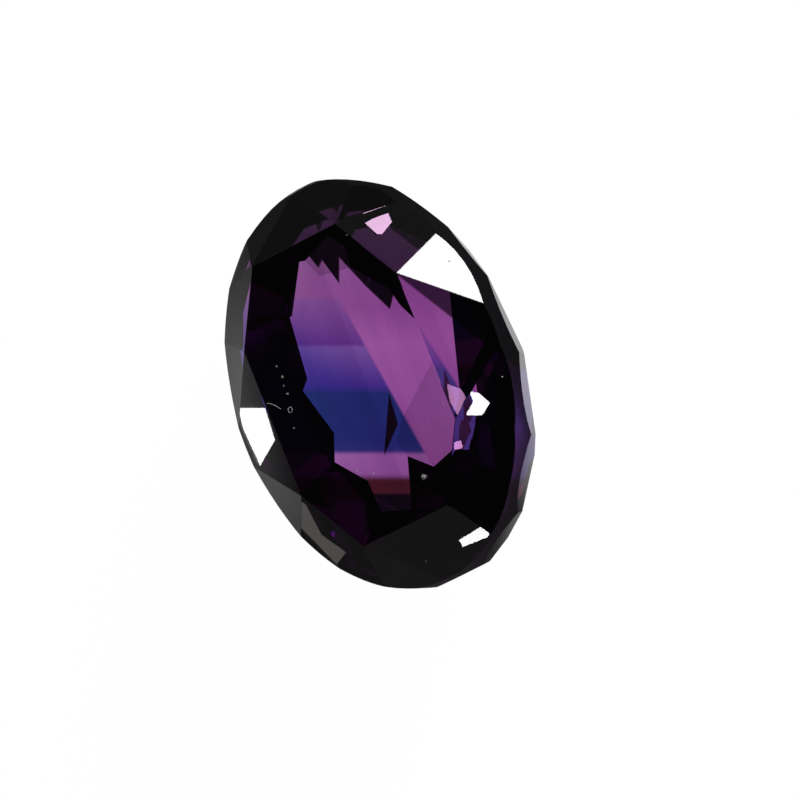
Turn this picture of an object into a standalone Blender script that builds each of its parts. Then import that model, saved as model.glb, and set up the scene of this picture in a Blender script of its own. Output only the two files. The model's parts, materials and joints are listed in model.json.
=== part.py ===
"""Oval cut sapphire: one faceted stone lying on a facet of its underside.

The stone is cut the way a lapidary cuts it. An oval blank is ground flat, one facet at a time, first the
table and the crown above the girdle, then three rows of facets below it down to the keel, and last the broad
facets across the keel.
Lengths are in millimetres and angles in degrees until the last step, which turns the stone on to the facet
it rests on and scales it to metres.
"""

import bmesh
import bpy
import numpy as np
from mathutils import Matrix, Vector

# Outline, seen square on to the table
LENGTH = 7.0
WIDTH = 5.0

# Crown, the part above the girdle
CROWN_HEIGHT = 0.70
# Two table corners as shares of the half length and half width, the other six mirror them
TABLE_END_CORNER = (0.725, 0.344)
TABLE_SIDE_CORNER = (0.376, 0.618)
# Places round the oval, counted from its end, where the edges that run down from the table meet the girdle
END_EDGE_TURN = 25.4
CORNER_TURN = 43.0
SIDE_EDGE_TURN = 58.7
# The facet on the long side ends blunt, so it meets the girdle a little before the middle of the side
SIDE_TIP_TURN = 84.2

# Girdle, the narrow band round the widest part. One side of it isn't upright: its lower edge stands out
# from the upper one by these lengths, along and across, and shows past the crown
GIRDLE_THICKNESS = 0.30
GIRDLE_FLARE = (-0.132, 0.083)
STEPS_BETWEEN_TURNS = 6

# Pavilion, the part below the girdle. Each row has a facet count, the turn of its first facet, a slope, the
# half width at which the row ends at the side of the stone, and how even the slope is round the oval:
# 1 keeps it the same everywhere, 0 lowers it towards the ends until all facets meet in one point
BELLY = (16, 0.0, 80.5, 2.44, 0.82)
MIDDLE = (12, 6.7, 53.3, 1.26, 0.77)
KEEL = (12, 0.0, 40.0, 0.00, 0.26)
# The lower rows lean against the crown, about the long axis and about the short one, as in many hand cut
# stones. The belly leans by a share of that
LEAN = (-2.6, 6.0)
BELLY_LEAN_SHARE = 0.27
# Three broad facets cut across the keel. Each has a slope, the turn it faces, counted from the end of the
# long axis, and its depth under the middle of the girdle. The stone lies on the base facet
SIDE_FACET = (18.7, 67.1, 2.77)
END_FACET = (11.2, 138.8, 2.65)
BASE_FACET = (16.9, 206.7, 2.62)

# Distances under this count as one point
SAME_POINT = 1e-4
SHORTEST_EDGE = 0.004

MILLIMETRE = 0.001


def on_oval(turn, height=0.0):
    """The point of the girdle outline at a turn from the end of the long axis."""
    angle = np.radians(turn)
    return np.array((LENGTH / 2 * np.cos(angle), WIDTH / 2 * np.sin(angle), height))


def outline_turns():
    """Turns of the blank's corners all round, with one at each place where crown facets meet the girdle."""
    stops = (0.0, END_EDGE_TURN, CORNER_TURN, SIDE_EDGE_TURN, SIDE_TIP_TURN, 90.0)
    steps = [np.linspace(a, b, STEPS_BETWEEN_TURNS, endpoint=False) for a, b in zip(stops, stops[1:])]
    quarter = np.concatenate(steps)
    half = np.concatenate([quarter, [90.0], 180.0 - quarter[:0:-1]])
    return np.concatenate([half, half + 180.0])


def flare(out):
    """How far the girdle's lower edge stands out where the outline faces a direction."""
    return max(0.0, float(np.dot(GIRDLE_FLARE, out)))


def cut(stone, point, normal):
    """Grinds one facet: takes off all that lies beyond the plane and closes the stone with a flat face."""
    bmesh.ops.bisect_plane(
        stone,
        geom=stone.verts[:] + stone.edges[:] + stone.faces[:],
        dist=SAME_POINT,
        plane_co=Vector(point),
        plane_no=Vector(normal),
        clear_outer=True,
    )
    rim = [edge for edge in stone.edges if edge.is_boundary]
    if rim:
        bmesh.ops.holes_fill(stone, edges=rim, sides=0)


def blank():
    """A block ground to the oval, with one wall for each step of the outline. A wall that stands out by f
    over the girdle's thickness t faces the outline's direction and up by f / t."""
    stone = bmesh.new()
    bmesh.ops.create_cube(stone, size=3 * LENGTH)
    corners = [on_oval(turn) for turn in outline_turns()]
    for a, b in zip(corners, corners[1:] + corners[:1]):
        out = np.array((b[1] - a[1], a[0] - b[0])) / np.linalg.norm(b - a)
        wall = np.array((*out, flare(out) / GIRDLE_THICKNESS))
        cut(stone, a, wall / np.linalg.norm(wall))
    return stone


def cut_through(stone, a, b, c):
    """Grinds the facet that passes through three points."""
    normal = np.cross(b - a, c - a)
    if normal @ a < 0:
        normal = -normal
    cut(stone, a, normal / np.linalg.norm(normal))


def cut_crown(stone):
    """The table, eight facets that hang from its edges and sixteen that stand on the girdle."""
    cut(stone, (0, 0, CROWN_HEIGHT), (0, 0, 1))
    half = np.array((LENGTH / 2, WIDTH / 2))
    end = np.append(half * TABLE_END_CORNER, CROWN_HEIGHT)
    side = np.append(half * TABLE_SIDE_CORNER, CROWN_HEIGHT)
    turns = (0.0, END_EDGE_TURN, CORNER_TURN, SIDE_EDGE_TURN, SIDE_TIP_TURN)
    for sign in (1, -1):
        at_end = end * (sign, 1, 1)
        cut_through(stone, at_end, at_end * (1, -1, 1), on_oval(0.0) * (sign, 1, 1))
        at_side = side * (1, sign, 1)
        cut_through(stone, at_side, at_side * (-1, 1, 1), on_oval(SIDE_TIP_TURN) * (1, sign, 1))
    quarters = [np.array((along, across, 1)) for along in (1, -1) for across in (1, -1)]
    for quarter in quarters:
        cut_through(stone, end * quarter, side * quarter, on_oval(CORNER_TURN) * quarter)
    for quarter in quarters:
        foot = [on_oval(turn) * quarter for turn in turns]
        cut_through(stone, end * quarter, foot[0], foot[1])
        cut_through(stone, end * quarter, foot[1], foot[2])
        cut_through(stone, side * quarter, foot[2], foot[3])
        cut_through(stone, side * quarter, foot[3], foot[4])


def leaning(share):
    """The turn that sets a pavilion row askew to the crown."""
    about_long, about_short = np.radians(LEAN) * share
    return np.array(Matrix.Rotation(about_long, 3, "X") @ Matrix.Rotation(about_short, 3, "Y"))


def cut_row(stone, row, start, lean, standing_out):
    """Grinds one row of pavilion facets, each set square to the outline at its own turn. Start is the depth
    at which the row's side facet would reach the outline, and standing out is the share of the girdle's
    flare that the row follows."""
    count, first_turn, slope, _, evenness = row
    for turn in first_turn + np.arange(count) * 360.0 / count:
        foot = on_oval(turn, -start)
        across = np.array((foot[0] / (LENGTH / 2) ** 2, foot[1] / (WIDTH / 2) ** 2))
        across /= np.linalg.norm(across)
        reach = across @ foot[:2]
        foot[:2] += across * flare(across) * standing_out
        steepness = np.tan(np.radians(slope)) * (evenness + (1 - evenness) * (WIDTH / 2) / reach)
        normal = np.array((*(across * steepness), -1.0))
        normal = lean @ (normal / np.linalg.norm(normal))
        cut(stone, lean @ foot, normal)


def cut_pavilion(stone):
    """Grinds the rows from the girdle down, each starting where the one above it ends."""
    reach = WIDTH / 2
    depth = GIRDLE_THICKNESS
    for row, share, standing_out in ((BELLY, BELLY_LEAN_SHARE, 1.0), (MIDDLE, 1.0, 0.0), (KEEL, 1.0, 0.0)):
        steepness = np.tan(np.radians(row[2]))
        cut_row(stone, row, depth - (WIDTH / 2 - reach) * steepness, leaning(share), standing_out)
        depth += (reach - row[3]) * steepness
        reach = row[3]


def cut_broad(stone, facet):
    """Grinds one broad facet across the keel and returns the direction it faces."""
    slope, faces = np.radians(facet[:2])
    normal = np.array((np.sin(slope) * np.cos(faces), np.sin(slope) * np.sin(faces), -np.cos(slope)))
    cut(stone, (0, 0, -facet[2]), normal)
    return normal


def set_down(stone, resting):
    """Turns the stone so that the resting direction points down and the long axis lies over +X, centres it
    and scales it to metres."""
    up = -Vector(resting)
    along = (Vector((1, 0, 0)) - up * up.x).normalized()
    turn = Matrix((along, up.cross(along), up)).to_4x4()
    bmesh.ops.transform(stone, matrix=turn, verts=stone.verts)
    points = np.array([vertex.co for vertex in stone.verts])
    middle = (points.min(axis=0) + points.max(axis=0)) / 2
    move = Matrix.Translation((-middle[0], -middle[1], -points[:, 2].min()))
    bmesh.ops.transform(stone, matrix=Matrix.Scale(MILLIMETRE, 4) @ move, verts=stone.verts)


def sapphire_material():
    """Clear purple corundum."""
    material = bpy.data.materials.new("sapphire")
    material.use_nodes = True
    shader = material.node_tree.nodes["Principled BSDF"]
    shader.inputs["Base Color"].default_value = (0.42, 0.12, 0.62, 1.0)
    shader.inputs["Roughness"].default_value = 0.02
    shader.inputs["IOR"].default_value = 1.77
    shader.inputs["Transmission Weight"].default_value = 1.0
    return material


for thing in list(bpy.data.objects):
    bpy.data.objects.remove(thing)

stone = blank()
cut_crown(stone)
cut_pavilion(stone)
cut_broad(stone, SIDE_FACET)
cut_broad(stone, END_FACET)
base_facing = cut_broad(stone, BASE_FACET)
bmesh.ops.remove_doubles(stone, verts=stone.verts, dist=SHORTEST_EDGE)
bmesh.ops.recalc_face_normals(stone, faces=stone.faces)
set_down(stone, base_facing)

mesh = bpy.data.meshes.new("stone")
stone.to_mesh(mesh)
stone.free()
mesh.materials.append(sapphire_material())
sapphire = bpy.data.objects.new("stone", mesh)
bpy.context.scene.collection.objects.link(sapphire)
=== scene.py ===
# %% [markdown]
# # An oval cut sapphire
#
# This notebook dresses one purple sapphire, about 7 x 5 mm, that lies on a facet of its underside.
# The shape comes finished from the CAD model, because a faceted stone is nothing but flat faces.
# What is left to make here is what light does with it: the clear body with its colour and its zones,
# the ground girdle, edges that aren't quite sharp, a few specks of dust, and the light itself.

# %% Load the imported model
import json

import bmesh
import bpy
import numpy as np
from mathutils import Matrix, Vector


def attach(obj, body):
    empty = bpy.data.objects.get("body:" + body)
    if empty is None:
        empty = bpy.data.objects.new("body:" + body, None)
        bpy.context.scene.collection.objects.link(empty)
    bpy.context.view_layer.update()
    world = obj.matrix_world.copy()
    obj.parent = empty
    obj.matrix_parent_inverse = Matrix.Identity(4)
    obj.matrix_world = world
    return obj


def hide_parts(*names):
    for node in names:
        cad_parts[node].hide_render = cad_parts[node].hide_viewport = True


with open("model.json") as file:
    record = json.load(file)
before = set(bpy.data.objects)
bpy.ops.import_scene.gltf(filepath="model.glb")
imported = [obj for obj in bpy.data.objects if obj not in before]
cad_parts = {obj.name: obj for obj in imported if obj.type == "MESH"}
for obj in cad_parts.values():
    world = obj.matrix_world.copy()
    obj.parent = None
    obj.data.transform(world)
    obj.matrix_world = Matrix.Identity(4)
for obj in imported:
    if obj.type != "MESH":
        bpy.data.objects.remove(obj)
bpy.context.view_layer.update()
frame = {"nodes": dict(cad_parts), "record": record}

MILLIMETRE = 0.001

# %% [markdown]
# ## The directions of the stone
#
# The record says where the table is, the big flat facet on top, and which way it faces. Three directions
# follow from that: along the oval, across it, and up out of the table. The camera, the lights and the zones
# of colour are all placed in these directions, in millimetres from the middle of the girdle.

# %% The stone's own directions
CROWN_HEIGHT = 0.70
table = next(mount for mount in frame["record"]["mounts"] if mount["name"] == "table")
above = Vector(table["axis"]).normalized()
along = Vector((above.z, 0.0, -above.x)).normalized()
across = above.cross(along)
middle = Vector(table["pos_m"]) - above * CROWN_HEIGHT * MILLIMETRE


def direction(x, y, z):
    """A direction given along, across and above the stone, as a unit vector of the model."""
    return (along * x + across * y + above * z).normalized()


print("the table faces", [round(v, 3) for v in above])
print("the middle of the girdle in mm", [round(v / MILLIMETRE, 3) for v in middle])

# %% [markdown]
# ## Camera
#
# The photograph was taken from almost straight above with a long lens, so the stone is nearly free of
# perspective. A 300 mm lens at about 110 mm gives the same frame, 13.2 mm wide. The depth of field is left
# off: a gem is judged all the way through.

# %% The camera, looking down into the table
CAMERA_OVER_STONE = (0.199, 0.396, 0.896)
TOWARDS_CAMERA = direction(*CAMERA_OVER_STONE)
PICTURE_UP = direction(-0.910, 0.414, 0.019)
PICTURE_RIGHT = PICTURE_UP.cross(TOWARDS_CAMERA).normalized()
PICTURE_UP = TOWARDS_CAMERA.cross(PICTURE_RIGHT)
PICTURE_SIZE = 800
PIXELS_PER_MM = 60.4
MIDDLE_PIXEL = (367.8, 385.8)
LENS = 300.0
SENSOR_WIDTH = 36.0


def picture_mm(pixels):
    """Places in the picture, given in pixels, as millimetres to the right and up from the middle of the
    girdle."""
    return (np.array(pixels) - MIDDLE_PIXEL) * (1, -1) / PIXELS_PER_MM


right, up = picture_mm((PICTURE_SIZE / 2, PICTURE_SIZE / 2))
aim = middle + (PICTURE_RIGHT * right + PICTURE_UP * up) * MILLIMETRE
distance = PICTURE_SIZE / PIXELS_PER_MM * MILLIMETRE * LENS / SENSOR_WIDTH

camera_data = bpy.data.cameras.new("camera")
camera_data.lens = LENS
camera_data.sensor_width = SENSOR_WIDTH
camera_data.clip_start = 0.001
camera = bpy.data.objects.new("camera", camera_data)
bpy.context.scene.collection.objects.link(camera)
camera_turn = Matrix((PICTURE_RIGHT, PICTURE_UP, TOWARDS_CAMERA)).transposed().to_4x4()
camera.matrix_world = Matrix.Translation(aim + TOWARDS_CAMERA * distance) @ camera_turn
bpy.context.scene.camera = camera
print("camera", round(distance / MILLIMETRE, 1), "mm away")

# %% [markdown]
# ## Floor and light
#
# A gem is a hall of mirrors, so its look is mostly the room. It sparkles when the room has both light and
# dark in it. Here the stone lies on a small pool of light in a dim room: the facets that let the pool through
# fill with colour, and the ones that throw the gaze back up into the room, or on to the floor beside the
# pool, turn dark. Floor and walls are pale to look at, but give the stone little light. The ceiling, the
# part of the room behind the camera, is darker still, and one soft lamp stands where a single facet of the
# crown mirrors it.

# %% Helpers for shader trees


def wire(tree, kind, inputs=None, **settings):
    """Adds a node of a kind, with its settings, and fills its inputs with numbers or links."""
    node = tree.nodes.new(kind)
    for name, value in settings.items():
        setattr(node, name, value)
    for key, value in (inputs or {}).items():
        if isinstance(value, bpy.types.NodeSocket):
            tree.links.new(value, node.inputs[key])
        else:
            node.inputs[key].default_value = value
    return node


def patch(tree, looking, centre, inner, outer):
    """1 within the inner angle of a direction, 0 beyond the outer one, smooth between, in degrees."""
    towards = wire(tree, "ShaderNodeVectorMath", {0: looking, 1: centre}, operation="DOT_PRODUCT")
    low, high = np.cos(np.radians((outer, inner)))
    soft = wire(
        tree,
        "ShaderNodeMapRange",
        {"Value": towards.outputs["Value"], "From Min": low, "From Max": high},
        interpolation_type="SMOOTHSTEP",
    )
    return soft.outputs["Result"]


# %% The room
ROOM_LIGHT = 0.09
CEILING_LIGHT = 0.012
WALL_SEEN = 0.80
CEILING_ANGLES = (54.0, 62.0)


def mirrored(a, b, c):
    """Where a facet through three points throws the camera's gaze: twice the normal times its cosine with
    the gaze, less the gaze."""
    a, b, c = (np.array(point) for point in (a, b, c))
    normal = np.cross(b - a, c - a)
    normal = direction(*(normal if normal[2] > 0 else -normal))
    return 2 * normal.dot(TOWARDS_CAMERA) * normal - TOWARDS_CAMERA


# Three corners of the facet that turns white, in millimetres along, across and above the stone
WHITE_FACET = ((-1.316, 1.545, 0.7), (-1.818, 2.136, 0.0), (-0.35, 2.49, 0.0))
LAMP_TOWARDS = mirrored(*WHITE_FACET)
LAMP_ANGLES = (9.0, 12.0)
LAMP_STRENGTH = 13.0

world = bpy.data.worlds.new("studio")
bpy.context.scene.world = world
world.use_nodes = True
tree = world.node_tree
background = tree.nodes["Background"]
background.inputs["Color"].default_value = (1.0, 1.0, 1.0, 1.0)
gaze = wire(tree, "ShaderNodeTexCoord").outputs["Generated"]
ceiling = patch(tree, gaze, TOWARDS_CAMERA, *CEILING_ANGLES)
room = wire(
    tree,
    "ShaderNodeMapRange",
    {"Value": ceiling, "To Min": ROOM_LIGHT, "To Max": CEILING_LIGHT},
).outputs["Result"]
lamp = patch(tree, gaze, LAMP_TOWARDS, *LAMP_ANGLES)
light = wire(
    tree,
    "ShaderNodeMath",
    {0: lamp, 1: LAMP_STRENGTH, 2: room},
    operation="MULTIPLY_ADD",
).outputs["Value"]
seen = wire(tree, "ShaderNodeLightPath").outputs["Is Camera Ray"]
shown = wire(tree, "ShaderNodeMapRange", {"Value": seen, "To Min": light, "To Max": WALL_SEEN})
tree.links.new(shown.outputs["Result"], background.inputs["Strength"])
print("the lamp stands at a height of", round(float(np.degrees(np.arcsin(LAMP_TOWARDS.z)))), "degrees")

# %% The floor
FLOOR_SIZE = 0.4
FLOOR_GAP = 0.00001

corners = np.array([(-1, -1), (1, -1), (1, 1), (-1, 1)]) * FLOOR_SIZE / 2
floor_mesh = bpy.data.meshes.new("floor")
floor_mesh.from_pydata(np.column_stack([corners, np.full(4, -FLOOR_GAP)]).tolist(), [], [(0, 1, 2, 3)])
floor = bpy.data.objects.new("floor", floor_mesh)
bpy.context.scene.collection.objects.link(floor)
print("the floor is", FLOOR_SIZE, "m wide")

# %% The floor's glow
# The floor shines with one strength for the camera, another in the pool under the stone and a third far away.
# A wider patch of light to one side is what the lower facets of the crown mirror as a soft sheen.
FLOOR_ALBEDO = 0.07
FLOOR_ROUGHNESS = 0.9
GLOW_SEEN = 0.99
GLOW_NEAR = 0.94
GLOW_FAR = 0.035
POOL_MM = (3.3, 4.4)
GLOW_SHEEN = 0.50
SHEEN_AT = (-0.0010, -0.0065, 0.0)
SHEEN_REACH = 0.0055

floor_material = bpy.data.materials.new("floor")
floor_material.use_nodes = True
tree = floor_material.node_tree
shader = tree.nodes["Principled BSDF"]
shader.inputs["Base Color"].default_value = (*(FLOOR_ALBEDO,) * 3, 1.0)
shader.inputs["Roughness"].default_value = FLOOR_ROUGHNESS
shader.inputs["Specular IOR Level"].default_value = 0.0
shader.inputs["Emission Color"].default_value = (1.0, 1.0, 1.0, 1.0)
place = wire(tree, "ShaderNodeTexCoord").outputs["Object"]
radius = wire(tree, "ShaderNodeVectorMath", {0: place}, operation="LENGTH").outputs["Value"]
near, far = (reach * MILLIMETRE for reach in POOL_MM)
beside = wire(tree, "ShaderNodeVectorMath", {0: place, 1: SHEEN_AT}, operation="DISTANCE").outputs["Value"]
sheen = wire(
    tree,
    "ShaderNodeMapRange",
    {"Value": beside, "From Min": 0.0, "From Max": SHEEN_REACH, "To Min": GLOW_SHEEN, "To Max": GLOW_FAR},
    interpolation_type="SMOOTHSTEP",
).outputs["Result"]
glow = wire(
    tree,
    "ShaderNodeMapRange",
    {"Value": radius, "From Min": near, "From Max": far, "To Min": GLOW_NEAR, "To Max": sheen},
    interpolation_type="SMOOTHSTEP",
)
seen = wire(tree, "ShaderNodeLightPath").outputs["Is Camera Ray"]
shown = wire(
    tree,
    "ShaderNodeMapRange",
    {"Value": seen, "To Min": glow.outputs["Result"], "To Max": GLOW_SEEN},
)
tree.links.new(shown.outputs["Result"], shader.inputs["Emission Strength"])
floor_mesh.materials.append(floor_material)
print("the pool of light ends", POOL_MM[1], "mm from the middle")

# %% How light is followed
# Light is thrown back many times inside a stone, and every throw counts as one bounce.
BOUNCES = 32

scene = bpy.context.scene
scene.cycles.max_bounces = BOUNCES
scene.cycles.glossy_bounces = BOUNCES
scene.cycles.transmission_bounces = BOUNCES
scene.view_settings.view_transform = "Standard"
print("light is followed for", BOUNCES, "bounces")

# %% [markdown]
# ## Sapphire
#
# Corundum bends light strongly, with an index of 1.77, and takes out green most of all, so white light
# comes back purple after a few millimetres. That is absorption inside the body, not paint on its surface: a
# thin rim stays pale and a long path turns dark. Colour rarely grows evenly in a sapphire. It lies in flat
# zones, and this one has a blue band between purple ones, put in as a tint of the surface where light
# crosses the band.

# %% The sapphire material
ABSORBED_PER_MM = np.array((0.295, 0.68, 0.288))
SAPPHIRE_IOR = 1.77


def stone_space(tree):
    """Object coordinates turned into millimetres along, across and above the stone."""
    place = wire(tree, "ShaderNodeTexCoord").outputs["Object"]
    turn = Matrix((along, across, above))
    mapping = wire(
        tree,
        "ShaderNodeMapping",
        {
            "Vector": place,
            "Location": -(turn @ middle) / MILLIMETRE,
            "Rotation": turn.to_euler(),
            "Scale": (1 / MILLIMETRE,) * 3,
        },
    )
    return mapping.outputs["Vector"]


def ramp(tree, value, stops):
    """A colour ramp over a value, with its stops given as place and colour."""
    node = wire(tree, "ShaderNodeValToRGB", {"Fac": value})
    elements = node.color_ramp.elements
    for element, (place, colour) in zip(elements, (stops[0], stops[-1])):
        element.position = place
        element.color = (*colour, 1.0)
    for place, colour in stops[1:-1]:
        elements.new(place).color = (*colour, 1.0)
    return node.outputs["Color"]


sapphire = bpy.data.materials.new("sapphire")
sapphire.use_nodes = True
tree = sapphire.node_tree
shader = tree.nodes["Principled BSDF"]
shader.inputs["Roughness"].default_value = 0.0
shader.inputs["IOR"].default_value = SAPPHIRE_IOR
shader.inputs["Transmission Weight"].default_value = 1.0

most = float(ABSORBED_PER_MM.max())
absorption = wire(
    tree,
    "ShaderNodeVolumeAbsorption",
    {"Color": (*(1 - ABSORBED_PER_MM / most), 1.0), "Density": most / MILLIMETRE},
)
tree.links.new(absorption.outputs["Volume"], tree.nodes["Material Output"].inputs["Volume"])
print("red, green and blue absorbed per mm", ABSORBED_PER_MM)

# %% [markdown]
# Growth zones in corundum are flat layers with straight, sharp or soft borders, and they meet at angles.
# In this stone they happen to stand along the gaze, so they are measured here in two directions of the
# picture, right and up, in millimetres from the middle, as seen through the table. The gaze bends where it
# enters, so both directions are sheared to follow it inside. The colours are shares of the light that the
# palest zone lets through.

# %% Places as seen through the table
sideways = -np.array(CAMERA_OVER_STONE[:2]) / SAPPHIRE_IOR
gaze_inside = np.append(sideways, -np.sqrt(1 - sideways @ sideways))
turn = np.array((along, across, above))


def seen_through_table(axis):
    """A direction of the picture as a vector v and a number c, so that a point p of the stone, in its own
    millimetres, is seen at v . p + c along it: a . p - s (p_z - h), with the slant s = (a . g) / g_z of the
    gaze g inside, and h the height of the table."""
    own = turn @ np.array(axis)
    slant = own @ gaze_inside / gaze_inside[2]
    return own - slant * np.array((0.0, 0.0, 1.0)), slant * CROWN_HEIGHT


def measure(tree, place, vector, shift):
    """The number v . p + c at every point."""
    scaled = wire(tree, "ShaderNodeVectorMath", {0: place, 1: vector}, operation="DOT_PRODUCT")
    moved = wire(tree, "ShaderNodeMath", {0: scaled.outputs["Value"], 1: float(shift)}, operation="ADD")
    return moved.outputs["Value"]


def side_of(tree, place, a, b, soft):
    """1 on the left of the line from a to b, 0 on its right, with a soft border, all in picture mm."""
    step = np.array(b) - np.array(a)
    left = np.array((-step[1], step[0])) / np.linalg.norm(step)
    right_axis, up_axis = seen_through_table(PICTURE_RIGHT), seen_through_table(PICTURE_UP)
    vector = left[0] * right_axis[0] + left[1] * up_axis[0]
    shift = left[0] * right_axis[1] + left[1] * up_axis[1] - left @ np.array(a)
    border = wire(
        tree,
        "ShaderNodeMapRange",
        {"Value": measure(tree, place, vector, shift), "From Min": -soft, "From Max": soft},
        interpolation_type="SMOOTHSTEP",
    )
    return border.outputs["Result"]


def layers(tree, place, stops):
    """Layers of colour stacked up the picture, each stop given as its height in mm and its colour."""
    height = measure(tree, place, *seen_through_table(PICTURE_UP))
    low, high = stops[0][0], stops[-1][0]
    share = wire(tree, "ShaderNodeMapRange", {"Value": height, "From Min": low, "From Max": high})
    return ramp(tree, share.outputs["Result"], [((h - low) / (high - low), c) for h, c in stops])


def blend(tree, share, below, over):
    """One colour over another by a share."""
    return wire(tree, "ShaderNodeMix", {0: share, 6: below, 7: over}, data_type="RGBA").outputs[2]


def shares(tree, operation, *numbers):
    """Shares from 0 to 1 put together: MULTIPLY gives where all of them hold, MAXIMUM where one does."""
    result = numbers[0]
    for number in numbers[1:]:
        result = wire(tree, "ShaderNodeMath", {0: result, 1: number}, operation=operation).outputs["Value"]
    return result


print("the gaze inside", np.round(gaze_inside, 3))

# %% The layers of each zone
# Each layer has its height up the picture in millimetres and its colour. All three zones share the low end.
LOW_END = [
    (-3.0, (0.60, 0.40, 0.60)),
    (-2.0, (0.60, 0.40, 0.60)),
    (-1.80, (0.16, 0.08, 0.05)),
    (-1.56, (0.16, 0.08, 0.05)),
]
PALE = LOW_END + [
    (-1.46, (0.75, 0.60, 0.74)),
    (-0.3, (0.90, 0.88, 0.96)),
    (0.7, (0.96, 0.92, 0.98)),
    (1.3, (0.70, 0.56, 0.74)),
    (2.2, (0.66, 0.62, 0.70)),
    (3.5, (0.60, 0.55, 0.66)),
]
VIOLET = LOW_END + [
    (-1.46, (0.85, 0.85, 0.95)),
    (-1.14, (0.95, 1.00, 1.00)),
    (-1.08, (0.10, 0.27, 0.52)),
    (-0.90, (0.06, 0.25, 0.46)),
    (-0.12, (0.045, 0.25, 0.42)),
    (-0.02, (0.19, 0.26, 0.70)),
    (0.64, (0.50, 0.70, 0.88)),
    (0.69, (0.34, 0.29, 0.65)),
    (1.45, (0.58, 0.60, 0.76)),
    (3.5, (0.56, 0.58, 0.74)),
]
BLUER = LOW_END + [
    (-1.46, (0.80, 0.80, 0.90)),
    (-1.14, (0.90, 1.00, 1.00)),
    (-1.08, (0.08, 0.25, 0.50)),
    (-0.90, (0.05, 0.24, 0.45)),
    (-0.12, (0.045, 0.24, 0.42)),
    (-0.02, (0.11, 0.22, 0.66)),
    (0.64, (0.26, 0.42, 0.80)),
    (0.69, (0.20, 0.22, 0.62)),
    (1.45, (0.46, 0.48, 0.76)),
    (3.5, (0.50, 0.50, 0.76)),
]
print("layers in the three zones", len(PALE), len(VIOLET), len(BLUER))

# %% The zones side by side
# Each border runs from one place in the picture to another, both in millimetres, with its zone on its left.
BLUER_BORDER = ((0.285, -0.235), (-1.12, 0.84))
BLUER_SOFT = 0.45
WINDOW_SIDE = ((1.010, -1.228), (-0.493, 1.470))
WINDOW_SIDE_SOFT = 0.03
WINDOW_TOP = ((1.0, 1.454), (-1.0, 1.454))
WINDOW_TOP_SOFT = 0.02

place = stone_space(tree)
window = blend(
    tree,
    side_of(tree, place, *BLUER_BORDER, BLUER_SOFT),
    layers(tree, place, VIOLET),
    layers(tree, place, BLUER),
)
inside = shares(
    tree,
    "MULTIPLY",
    side_of(tree, place, *WINDOW_SIDE, WINDOW_SIDE_SOFT),
    side_of(tree, place, *WINDOW_TOP, WINDOW_TOP_SOFT),
)
body = blend(tree, inside, layers(tree, place, PALE), window)
print("the window's zones end", WINDOW_TOP[0][1], "mm up from the middle")

# %% [markdown]
# The rows of small facets round the keel throw dark wedges into the window of the real stone. Here each wedge
# is painted shade, a near-black corner of the surface colour, given by its three corners in pixels of the
# picture, and two straight borders paint the same shade over all that lies past the upper edge of the table.

# %% A helper for the corners of painted shade
WEDGE_SOFT = 0.008


def wedge(tree, place, corners):
    """1 inside a triangle given in pixels, with its corners against the clock."""
    places = list(picture_mm(corners))
    pairs = zip(places, places[1:] + places[:1])
    return shares(tree, "MULTIPLY", *[side_of(tree, place, a, b, WEDGE_SOFT) for a, b in pairs])


# %% Corners of painted shade
SHADE_WEDGES = [
    [(301, 246), (318, 267), (328, 246)],
    [(312, 246), (339, 283), (339, 246)],
    [(329, 246), (366, 286), (385, 246)],
    [(385, 246), (366, 286), (399, 277)],
    [(364, 284), (390, 309), (397, 279)],
    [(389, 393), (384, 456), (398, 424)],
    [(366, 494), (366, 520), (416, 520)],
    [(366, 494), (416, 520), (416, 494)],
]
# The near-black colour below is painted shade, for the dark wedges the small facets throw and for the crown
# past the table.
PAINTED_SHADE_COLOUR = (0.014, 0.014, 0.018, 1.0)
SLANT_BORDER = ((-0.535, 2.679), (0.392, 1.892))
SLANT_BORDER_SOFT = 0.02
TOP_BORDER = ((-1.0, 2.22), (1.0, 2.22))
TOP_BORDER_SOFT = 0.03

painted_shade = shares(
    tree,
    "MAXIMUM",
    side_of(tree, place, *SLANT_BORDER, SLANT_BORDER_SOFT),
    side_of(tree, place, *TOP_BORDER, TOP_BORDER_SOFT),
    *[wedge(tree, place, corners) for corners in SHADE_WEDGES],
)
# The painted shade is laid over the colour zones here.
zones = blend(tree, painted_shade, body, PAINTED_SHADE_COLOUR)
print(len(SHADE_WEDGES), "dense corners")

# %% [markdown]
# Under the wide zones lie the fine growth lines, straight and all one way. They are noise along one direction
# only, so that every line runs on unbroken, and they take away a sixth of the light at most.

# %% Growth lines
LINES_ACROSS = (0.935, 0.355)
LINES_PER_MM = 2.6
LINE_SHADE = (0.87, 0.84, 0.90)

across_lines = PICTURE_RIGHT * LINES_ACROSS[0] + PICTURE_UP * LINES_ACROSS[1]
lines = wire(
    tree,
    "ShaderNodeTexNoise",
    {"W": measure(tree, place, *seen_through_table(across_lines)), "Scale": LINES_PER_MM, "Detail": 4.0},
    noise_dimensions="1D",
).outputs["Fac"]
shade = ramp(tree, lines, [(0.35, LINE_SHADE), (0.60, (1.0, 1.0, 1.0))])
grown = wire(tree, "ShaderNodeMix", {0: 1.0, 6: zones, 7: shade}, data_type="RGBA", blend_type="MULTIPLY")
tree.links.new(grown.outputs[2], shader.inputs["Base Color"])
print("growth lines, the widest about", round(1 / LINES_PER_MM, 2), "mm")

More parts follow.
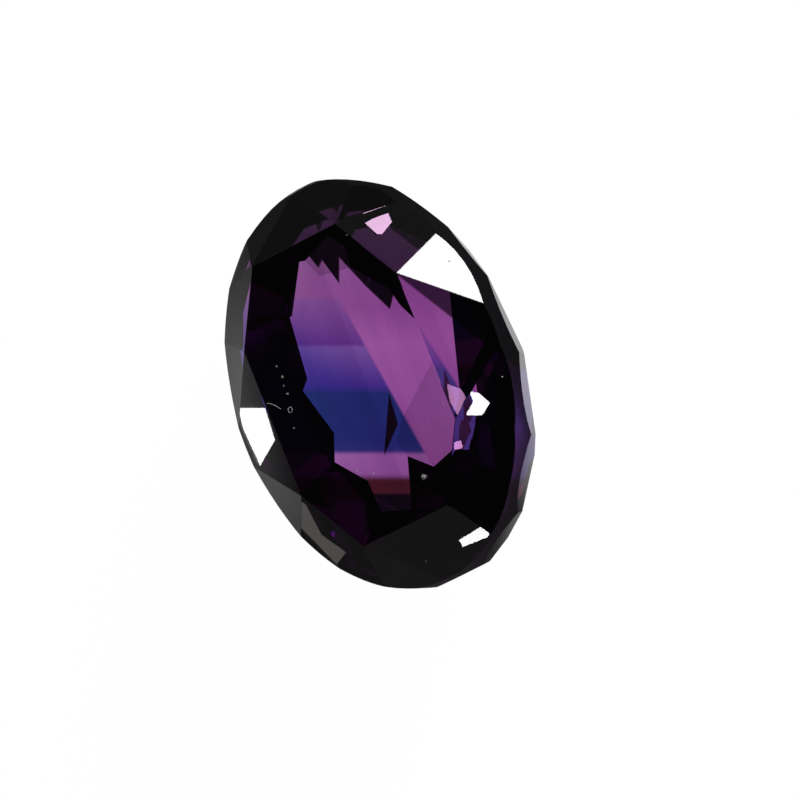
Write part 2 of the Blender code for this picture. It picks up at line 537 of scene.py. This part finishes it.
# %% [markdown]
# ## Edges and girdle
#
# Where two facets meet the edge is sharp, but never as sharp as two planes in a computer. The polishing
# wheel and years of wear take a hair off, about a hundredth of a millimetre, and that hair catches the light
# as a thin line. A Bevel modifier could do it, but it stumbles over the very short edges where facets nearly
# meet in one point. A stone is convex, so one more flat cut along every edge does the same and can't fail.
#
# The girdle, the narrow band round the widest part, is ground and not polished, so it is matt. A number
# kept on each face marks it for the material.

# %% A helper that puts a mesh into the scene


def piece(name, mesh, material):
    """Makes a mesh one piece of the stone, riding on its one body."""
    mesh.materials.append(material)
    thing = bpy.data.objects.new(name, mesh)
    bpy.context.scene.collection.objects.link(thing)
    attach(thing, "root")
    return thing


# %% Every edge loses a hair
WEAR_MM = 0.010
SHARP_FROM = 8.0
SAME_FACET = 0.05
SAME_POINT_MM = 0.0005
ON_PLANE_MM = 0.0001


def whole_facets(mesh):
    """A copy in millimetres whose loose triangles are merged into one face for each facet."""
    copy = bmesh.new()
    copy.from_mesh(mesh)
    bmesh.ops.scale(copy, vec=(1 / MILLIMETRE,) * 3, verts=copy.verts)
    bmesh.ops.remove_doubles(copy, verts=copy.verts, dist=SAME_POINT_MM)
    bmesh.ops.dissolve_limit(
        copy,
        angle_limit=np.radians(SAME_FACET),
        verts=copy.verts,
        edges=copy.edges,
    )
    return copy


def wear(stone, width):
    """Cuts every sharp edge with a plane square to the middle of its two facets. Two facets that turn by an
    angle t at the edge lose a strip of the width when the plane lies width / 2 times tan(t / 2) below it."""
    sharp = []
    for edge in stone.edges:
        turn = edge.calc_face_angle(0.0)
        if turn > np.radians(SHARP_FROM):
            outward = (edge.link_faces[0].normal + edge.link_faces[1].normal).normalized()
            below = width / 2 * np.tan(turn / 2)
            sharp.append((edge.verts[0].co - outward * below, outward))
    for point, outward in sharp:
        everything = stone.verts[:] + stone.edges[:] + stone.faces[:]
        bmesh.ops.bisect_plane(
            stone,
            geom=everything,
            dist=ON_PLANE_MM,
            plane_co=point,
            plane_no=outward,
            clear_outer=True,
        )
        rim = [edge for edge in stone.edges if edge.is_boundary]
        if rim:
            bmesh.ops.holes_fill(stone, edges=rim, sides=0)
    bmesh.ops.remove_doubles(stone, verts=stone.verts, dist=SAME_POINT_MM)
    return len(sharp)


faceted = whole_facets(frame["nodes"]["stone"].data)
facets = len(faceted.faces)
worn = wear(faceted, WEAR_MM)
bmesh.ops.triangulate(faceted, faces=faceted.faces)
bmesh.ops.recalc_face_normals(faceted, faces=faceted.faces)
bmesh.ops.scale(faceted, vec=(MILLIMETRE,) * 3, verts=faceted.verts)
open_edges = sum(not edge.is_manifold for edge in faceted.edges)
stone_mesh = bpy.data.meshes.new("sapphire_stone")
faceted.to_mesh(stone_mesh)
faceted.free()
stone = piece("sapphire_stone", stone_mesh, sapphire)
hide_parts("stone")
print(facets, "facets and", worn, "edges worn")
print(len(stone_mesh.polygons), "triangles and", open_edges, "open edges")

# %% The matt girdle
# Its walls stand upright on one side of the stone and lean out by up to 27 degrees on the other, so the part
# of their direction that points up out of the table lies between these two.
WALL_LEANS = (-0.04, 0.47)
GIRDLE_ROUGHNESS = 0.28

directions = np.empty((len(stone_mesh.polygons), 3))
stone_mesh.polygons.foreach_get("normal", directions.ravel())
leans = directions @ np.array(above)
ground = (leans > WALL_LEANS[0]) & (leans < WALL_LEANS[1])
mark = stone_mesh.attributes.new("girdle", "FLOAT", "FACE")
mark.data.foreach_set("value", ground.astype(np.float32))

tree = sapphire.node_tree
shader = tree.nodes["Principled BSDF"]
marked = wire(tree, "ShaderNodeAttribute", attribute_name="girdle").outputs["Fac"]
polish = shader.inputs["Roughness"].default_value
matt = wire(tree, "ShaderNodeMapRange", {"Value": marked, "To Min": polish, "To Max": GIRDLE_ROUGHNESS})
tree.links.new(matt.outputs["Result"], shader.inputs["Roughness"])
print(int(ground.sum()), "faces of the girdle are matt")

# %% [markdown]
# ## Dust
#
# A stone held up to a lens is never quite clean: a few grains, a tiny ring and one short fibre lie on it,
# and they tell the eye where its invisible surface is. Each grain is a small round form with a wavy skin,
# squashed on to the facet that carries it. The grains' places are given in the picture, and a ray from the
# camera finds the facet there.

# %% Where the dust lies
# Each grain has a place in the picture and a radius in millimetres.
GRAINS = np.array([
    (276.5, 366.5, 0.016),
    (282.7, 377.0, 0.020),
    (284.0, 386.0, 0.014),
    (287.7, 394.0, 0.018),
    (294.4, 428.0, 0.014),
    (357.0, 471.0, 0.018),
    (363.0, 475.0, 0.014),
    (373.5, 473.5, 0.016),
    (424.0, 476.0, 0.045),
    (443.0, 405.0, 0.018),
    (425.7, 560.0, 0.014),
    (449.0, 262.0, 0.012),
    (501.0, 377.0, 0.014),
    (347.0, 236.0, 0.010),
    (318.0, 301.0, 0.010),
])
RAY_LENGTH_MM = 20.0


def on_stone(x, y):
    """The point of the stone seen at a place in the picture, and the direction its facet faces."""
    right, up = picture_mm((x, y))
    start = middle + (PICTURE_RIGHT * right + PICTURE_UP * up + TOWARDS_CAMERA * RAY_LENGTH_MM) * MILLIMETRE
    found, point, outward, _ = stone.ray_cast(start, -TOWARDS_CAMERA)
    assert found, ("no stone at", x, y)
    return np.array(point), np.array(outward)


bpy.context.view_layer.update()
places = [on_stone(x, y) for x, y, _ in GRAINS]
spots = np.array([point for point, _ in places])
facing = np.array([outward for _, outward in places])
print(len(GRAINS), "grains, the highest", round(float(spots[:, 2].max()) / MILLIMETRE, 2), "mm up")

# %% Helpers for the small round forms
SKIN = (18, 12)
TUBE_SIDES = 8
TUBE_LIFT = 1.2
TUBE_TIP = 1e-7
NO_FACET_FACES = (0.31, 0.95, 0.05)


def upright_frames(outward):
    """Two directions in each facet and the one it faces, as rows."""
    sideways = np.cross(outward, np.array(NO_FACET_FACES))
    sideways /= np.linalg.norm(sideways, axis=-1, keepdims=True)
    return np.stack([sideways, np.cross(outward, sideways), outward], axis=-2)


def grain_surfaces(centres, frames, radii, seed=4):
    """Round forms with a wavy skin. The radius at a longitude u and latitude v is
    r (1 + (0.22 sin(3u + a) cos(2v + b) + 0.12 sin(5u + b)) cos v). Then the form is drawn out along the
    facet by 0.8 + 0.5 w one way and 1.2 - 0.5 w the other, squashed to 0.45 of its height and lifted by
    r / 2. Each grain has an a, a b and a w of its own. Returns an array of grains, rings, points and axes."""
    a, b, stretch = np.random.default_rng(seed).random((3, len(radii), 1, 1))
    a, b = a * 2 * np.pi, b * 2 * np.pi
    u = np.linspace(0, 2 * np.pi, SKIN[0], endpoint=False)[None, None, :]
    v = np.linspace(-np.pi / 2, np.pi / 2, SKIN[1])[None, :, None]
    wave = 0.22 * np.sin(3 * u + a) * np.cos(2 * v + b) + 0.12 * np.sin(5 * u + b)
    size = radii[:, None, None] * (1 + wave * np.cos(v))
    local = np.stack([
        size * np.cos(v) * np.cos(u) * (0.8 + 0.5 * stretch),
        size * np.cos(v) * np.sin(u) * (1.2 - 0.5 * stretch),
        size * np.sin(v) * 0.45 + 0.5 * radii[:, None, None],
    ], axis=-1)
    return centres[:, None, None] + np.einsum("guvi,gij->guvj", local, frames) * MILLIMETRE


def tube_surface(path, frame_there, radius, closed):
    """A round profile of a radius in mm carried along a path: each point of the path plus the radius times
    the cosine of t sideways and the sine of t upwards, with t once round, and all of it lifted a little
    off the facet. An open tube has a radius of r (1 - s to the 8th), with s from -1 at one end to 1 at the
    other."""
    ahead = np.roll(path, -1, axis=0) - np.roll(path, 1, axis=0)
    if not closed:
        ahead[0], ahead[-1] = path[1] - path[0], path[-1] - path[-2]
    ahead /= np.linalg.norm(ahead, axis=1, keepdims=True)
    upward = np.tile(frame_there[2], (len(path), 1))
    sideways = np.cross(ahead, upward)
    t = np.linspace(0, 2 * np.pi, TUBE_SIDES, endpoint=False)[None, :, None]
    size = radius * MILLIMETRE
    if not closed:
        size = size * (1 - np.linspace(-1, 1, len(path)) ** 8)[:, None, None] + TUBE_TIP
    return path[:, None] + size * (np.cos(t) * sideways[:, None] + (np.sin(t) + TUBE_LIFT) * upward[:, None])


def grid_faces(rings, around, first, close_rings=False):
    """Four-sided faces between neighbouring rings of points, all turning outwards."""
    i = np.arange(rings if close_rings else rings - 1)[:, None]
    j = np.arange(around)[None, :]
    below, above_it = i * around, (i + 1) % rings * around
    right = (j + 1) % around
    faces = np.stack([below + j, below + right, above_it + right, above_it + j], axis=-1)
    return faces.reshape(-1, 4) + first


def curve_through(knots, count):
    """The smooth curve through a few points p_i at even steps t_i: the sum of p_i times the product, over all
    the other steps t_j, of (t - t_j) / (t_i - t_j)."""
    steps = np.linspace(0, 1, len(knots))
    t = np.linspace(0, 1, count)
    factors = [[(t - other) / (own - other) for other in steps if other != own] for own in steps]
    return np.prod(factors, axis=1).T @ knots


# %% The grains
grains = grain_surfaces(spots, upright_frames(facing), GRAINS[:, 2])
count, rings, around = grains.shape[:3]
points = [grains.reshape(-1, 3)]
faces = [grid_faces(rings, around, g * rings * around) for g in range(count)]
total = grains.size // 3
print(count, "grains with", rings * around, "points each")

# %% A ring and a fibre
RING_AT = (290.5, 410.0)
RING_RADII = (0.045, 0.03825)
RING_THICKNESS = 0.007
RING_STEPS = 32
FIBRE_KNOTS = [(266.0, 404.5), (270.0, 403.6), (275.5, 405.8), (281.5, 409.5)]
FIBRE_THICKNESS = 0.006
FIBRE_STEPS = 24

spot, outward = on_stone(*RING_AT)
ring_frame = upright_frames(outward)
t = np.linspace(0, 2 * np.pi, RING_STEPS, endpoint=False)
oval = np.stack([RING_RADII[0] * np.cos(t), RING_RADII[1] * np.sin(t), 0 * t], axis=1) * MILLIMETRE
loop = tube_surface(spot + oval @ ring_frame, ring_frame, RING_THICKNESS, closed=True)
points.append(loop.reshape(-1, 3))
faces.append(grid_faces(*loop.shape[:2], total, close_rings=True))
total += loop.size // 3

knots = [on_stone(x, y) for x, y in FIBRE_KNOTS]
path = curve_through(np.array([point for point, _ in knots]), FIBRE_STEPS)
fibre = tube_surface(path, upright_frames(knots[0][1]), FIBRE_THICKNESS, closed=False)
points.append(fibre.reshape(-1, 3))
faces.append(grid_faces(*fibre.shape[:2], total))
fibre_length = np.linalg.norm(np.diff(path, axis=0), axis=1).sum() / MILLIMETRE
print("the fibre is", round(float(fibre_length), 2), "mm long")

# %% All the dust in one mesh
SAME_SPOT = 2e-8

dust_mesh = bpy.data.meshes.new("dust")
dust_mesh.from_pydata(np.concatenate(points).tolist(), [], np.concatenate(faces).tolist())
whole = bmesh.new()
whole.from_mesh(dust_mesh)
bmesh.ops.remove_doubles(whole, verts=whole.verts, dist=SAME_SPOT)
bmesh.ops.holes_fill(whole, edges=[edge for edge in whole.edges if edge.is_boundary], sides=0)
bmesh.ops.recalc_face_normals(whole, faces=whole.faces)
open_edges = sum(not edge.is_manifold for edge in whole.edges)
whole.to_mesh(dust_mesh)
whole.free()
print(len(dust_mesh.polygons), "faces of dust,", open_edges, "open edges")

# %% The dust's material
# Dust and lint are pale and matt, a little warmer here and greyer there.
MOTTLE_SCALE = 9000.0
DUST_ROUGHNESS = 0.8

dust_material = bpy.data.materials.new("dust")
dust_material.use_nodes = True
tree = dust_material.node_tree
shader = tree.nodes["Principled BSDF"]
place = wire(tree, "ShaderNodeTexCoord").outputs["Object"]
mottle = wire(tree, "ShaderNodeTexNoise", {"Vector": place, "Scale": MOTTLE_SCALE, "Detail": 3.0})
tone = ramp(tree, mottle.outputs["Fac"], [(0.3, (0.55, 0.50, 0.52)), (0.7, (0.95, 0.93, 0.95))])
tree.links.new(tone, shader.inputs["Base Color"])
shader.inputs["Roughness"].default_value = DUST_ROUGHNESS
piece("dust", dust_mesh, dust_material)
dust_mesh.shade_smooth()
print("the dust is mottled every", round(1 / (MOTTLE_SCALE * MILLIMETRE), 2), "mm or so")

# %% [markdown]
# ## Glints
#
# The white and pink flashes on a polished stone are the shapes of small lamps, mirrored by single facets.
# Each is made backwards: from the flash on the stone the gaze is thrown back off the facet, and a small
# glowing card is put where it goes, on the floor or up in the room. The last card is wide and faint, for
# the soft sheen on the lower left of the crown. The cards are part of the studio, not of the stone, and the
# camera can't see them itself.

# %% Cards that the facets mirror
CARD_HEIGHT = 0.00002
CARD_DISTANCE = 0.045


def card(name, outline, strength, colour=(1.0, 1.0, 1.0)):
    """A glowing card whose mirror image in one facet fills an outline given in the picture. The facet is the
    one seen in the outline's middle, with a point p and a direction n. Each corner of the outline is carried
    from the camera c along its gaze g on to the facet, q = c + g ((p - c) . n) / (g . n), and from there
    along the mirrored gaze, g - 2 (g . n) n."""
    start = np.array(camera.location)
    point, outward = on_stone(*np.mean(outline, axis=0))
    shift = picture_mm(outline) @ np.array((PICTURE_RIGHT, PICTURE_UP)) * MILLIMETRE
    gaze = np.array(middle) + shift - start
    gaze /= np.linalg.norm(gaze, axis=1, keepdims=True)
    facing = gaze @ outward
    on_facet = start + gaze * ((point - start) @ outward / facing)[:, None]
    thrown = gaze - 2 * facing[:, None] * outward
    if thrown[:, 2].mean() < 0:
        reach = (CARD_HEIGHT - on_facet[:, 2]) / thrown[:, 2]
    else:
        reach = np.full(len(outline), CARD_DISTANCE)
    corners = on_facet + thrown * reach[:, None]
    mesh = bpy.data.meshes.new(name)
    mesh.from_pydata(corners.tolist(), [], [tuple(range(len(corners)))])
    glow = bpy.data.materials.new(name)
    glow.use_nodes = True
    shader = glow.node_tree.nodes["Principled BSDF"]
    shader.inputs["Base Color"].default_value = (0.0, 0.0, 0.0, 1.0)
    shader.inputs["Emission Color"].default_value = (*colour, 1.0)
    shader.inputs["Emission Strength"].default_value = strength
    mesh.materials.append(glow)
    thing = bpy.data.objects.new(name, mesh)
    bpy.context.scene.collection.objects.link(thing)
    thing.visible_camera = False
    print(name, "at", np.round(corners.mean(axis=0) / MILLIMETRE, 1), "faces", np.round(outward, 2))


PINK = (1.0, 0.45, 0.95)
PALE_PINK = (1.0, 0.62, 0.95)
WARM_WHITE = (1.0, 0.95, 0.90)
card("left_flash", [(238, 408), (265, 408), (275, 440), (260, 466), (243, 428)], 7.0)
card("end_flash", [(459, 540), (484, 525), (490, 530), (488, 537), (463, 547)], 12.0)
card("side_flash", [(469, 391), (479, 393), (490, 403), (482, 415), (466, 415), (473, 401)], 13.0)
card("side_blush", [(447, 384), (461, 389), (466, 398), (458, 416), (450, 402)], 5.0, PINK)
card("top_flash", [(365, 223), (372, 219), (388, 213), (392, 222), (382, 234), (377, 234)], 10.0, PALE_PINK)
card("low_flash", [(453, 443), (461, 440), (463, 448), (455, 450)], 7.0, PINK)
card("low_sheen", [(272, 474), (299, 500), (362, 544), (341, 569), (287, 513)], 0.5, WARM_WHITE)
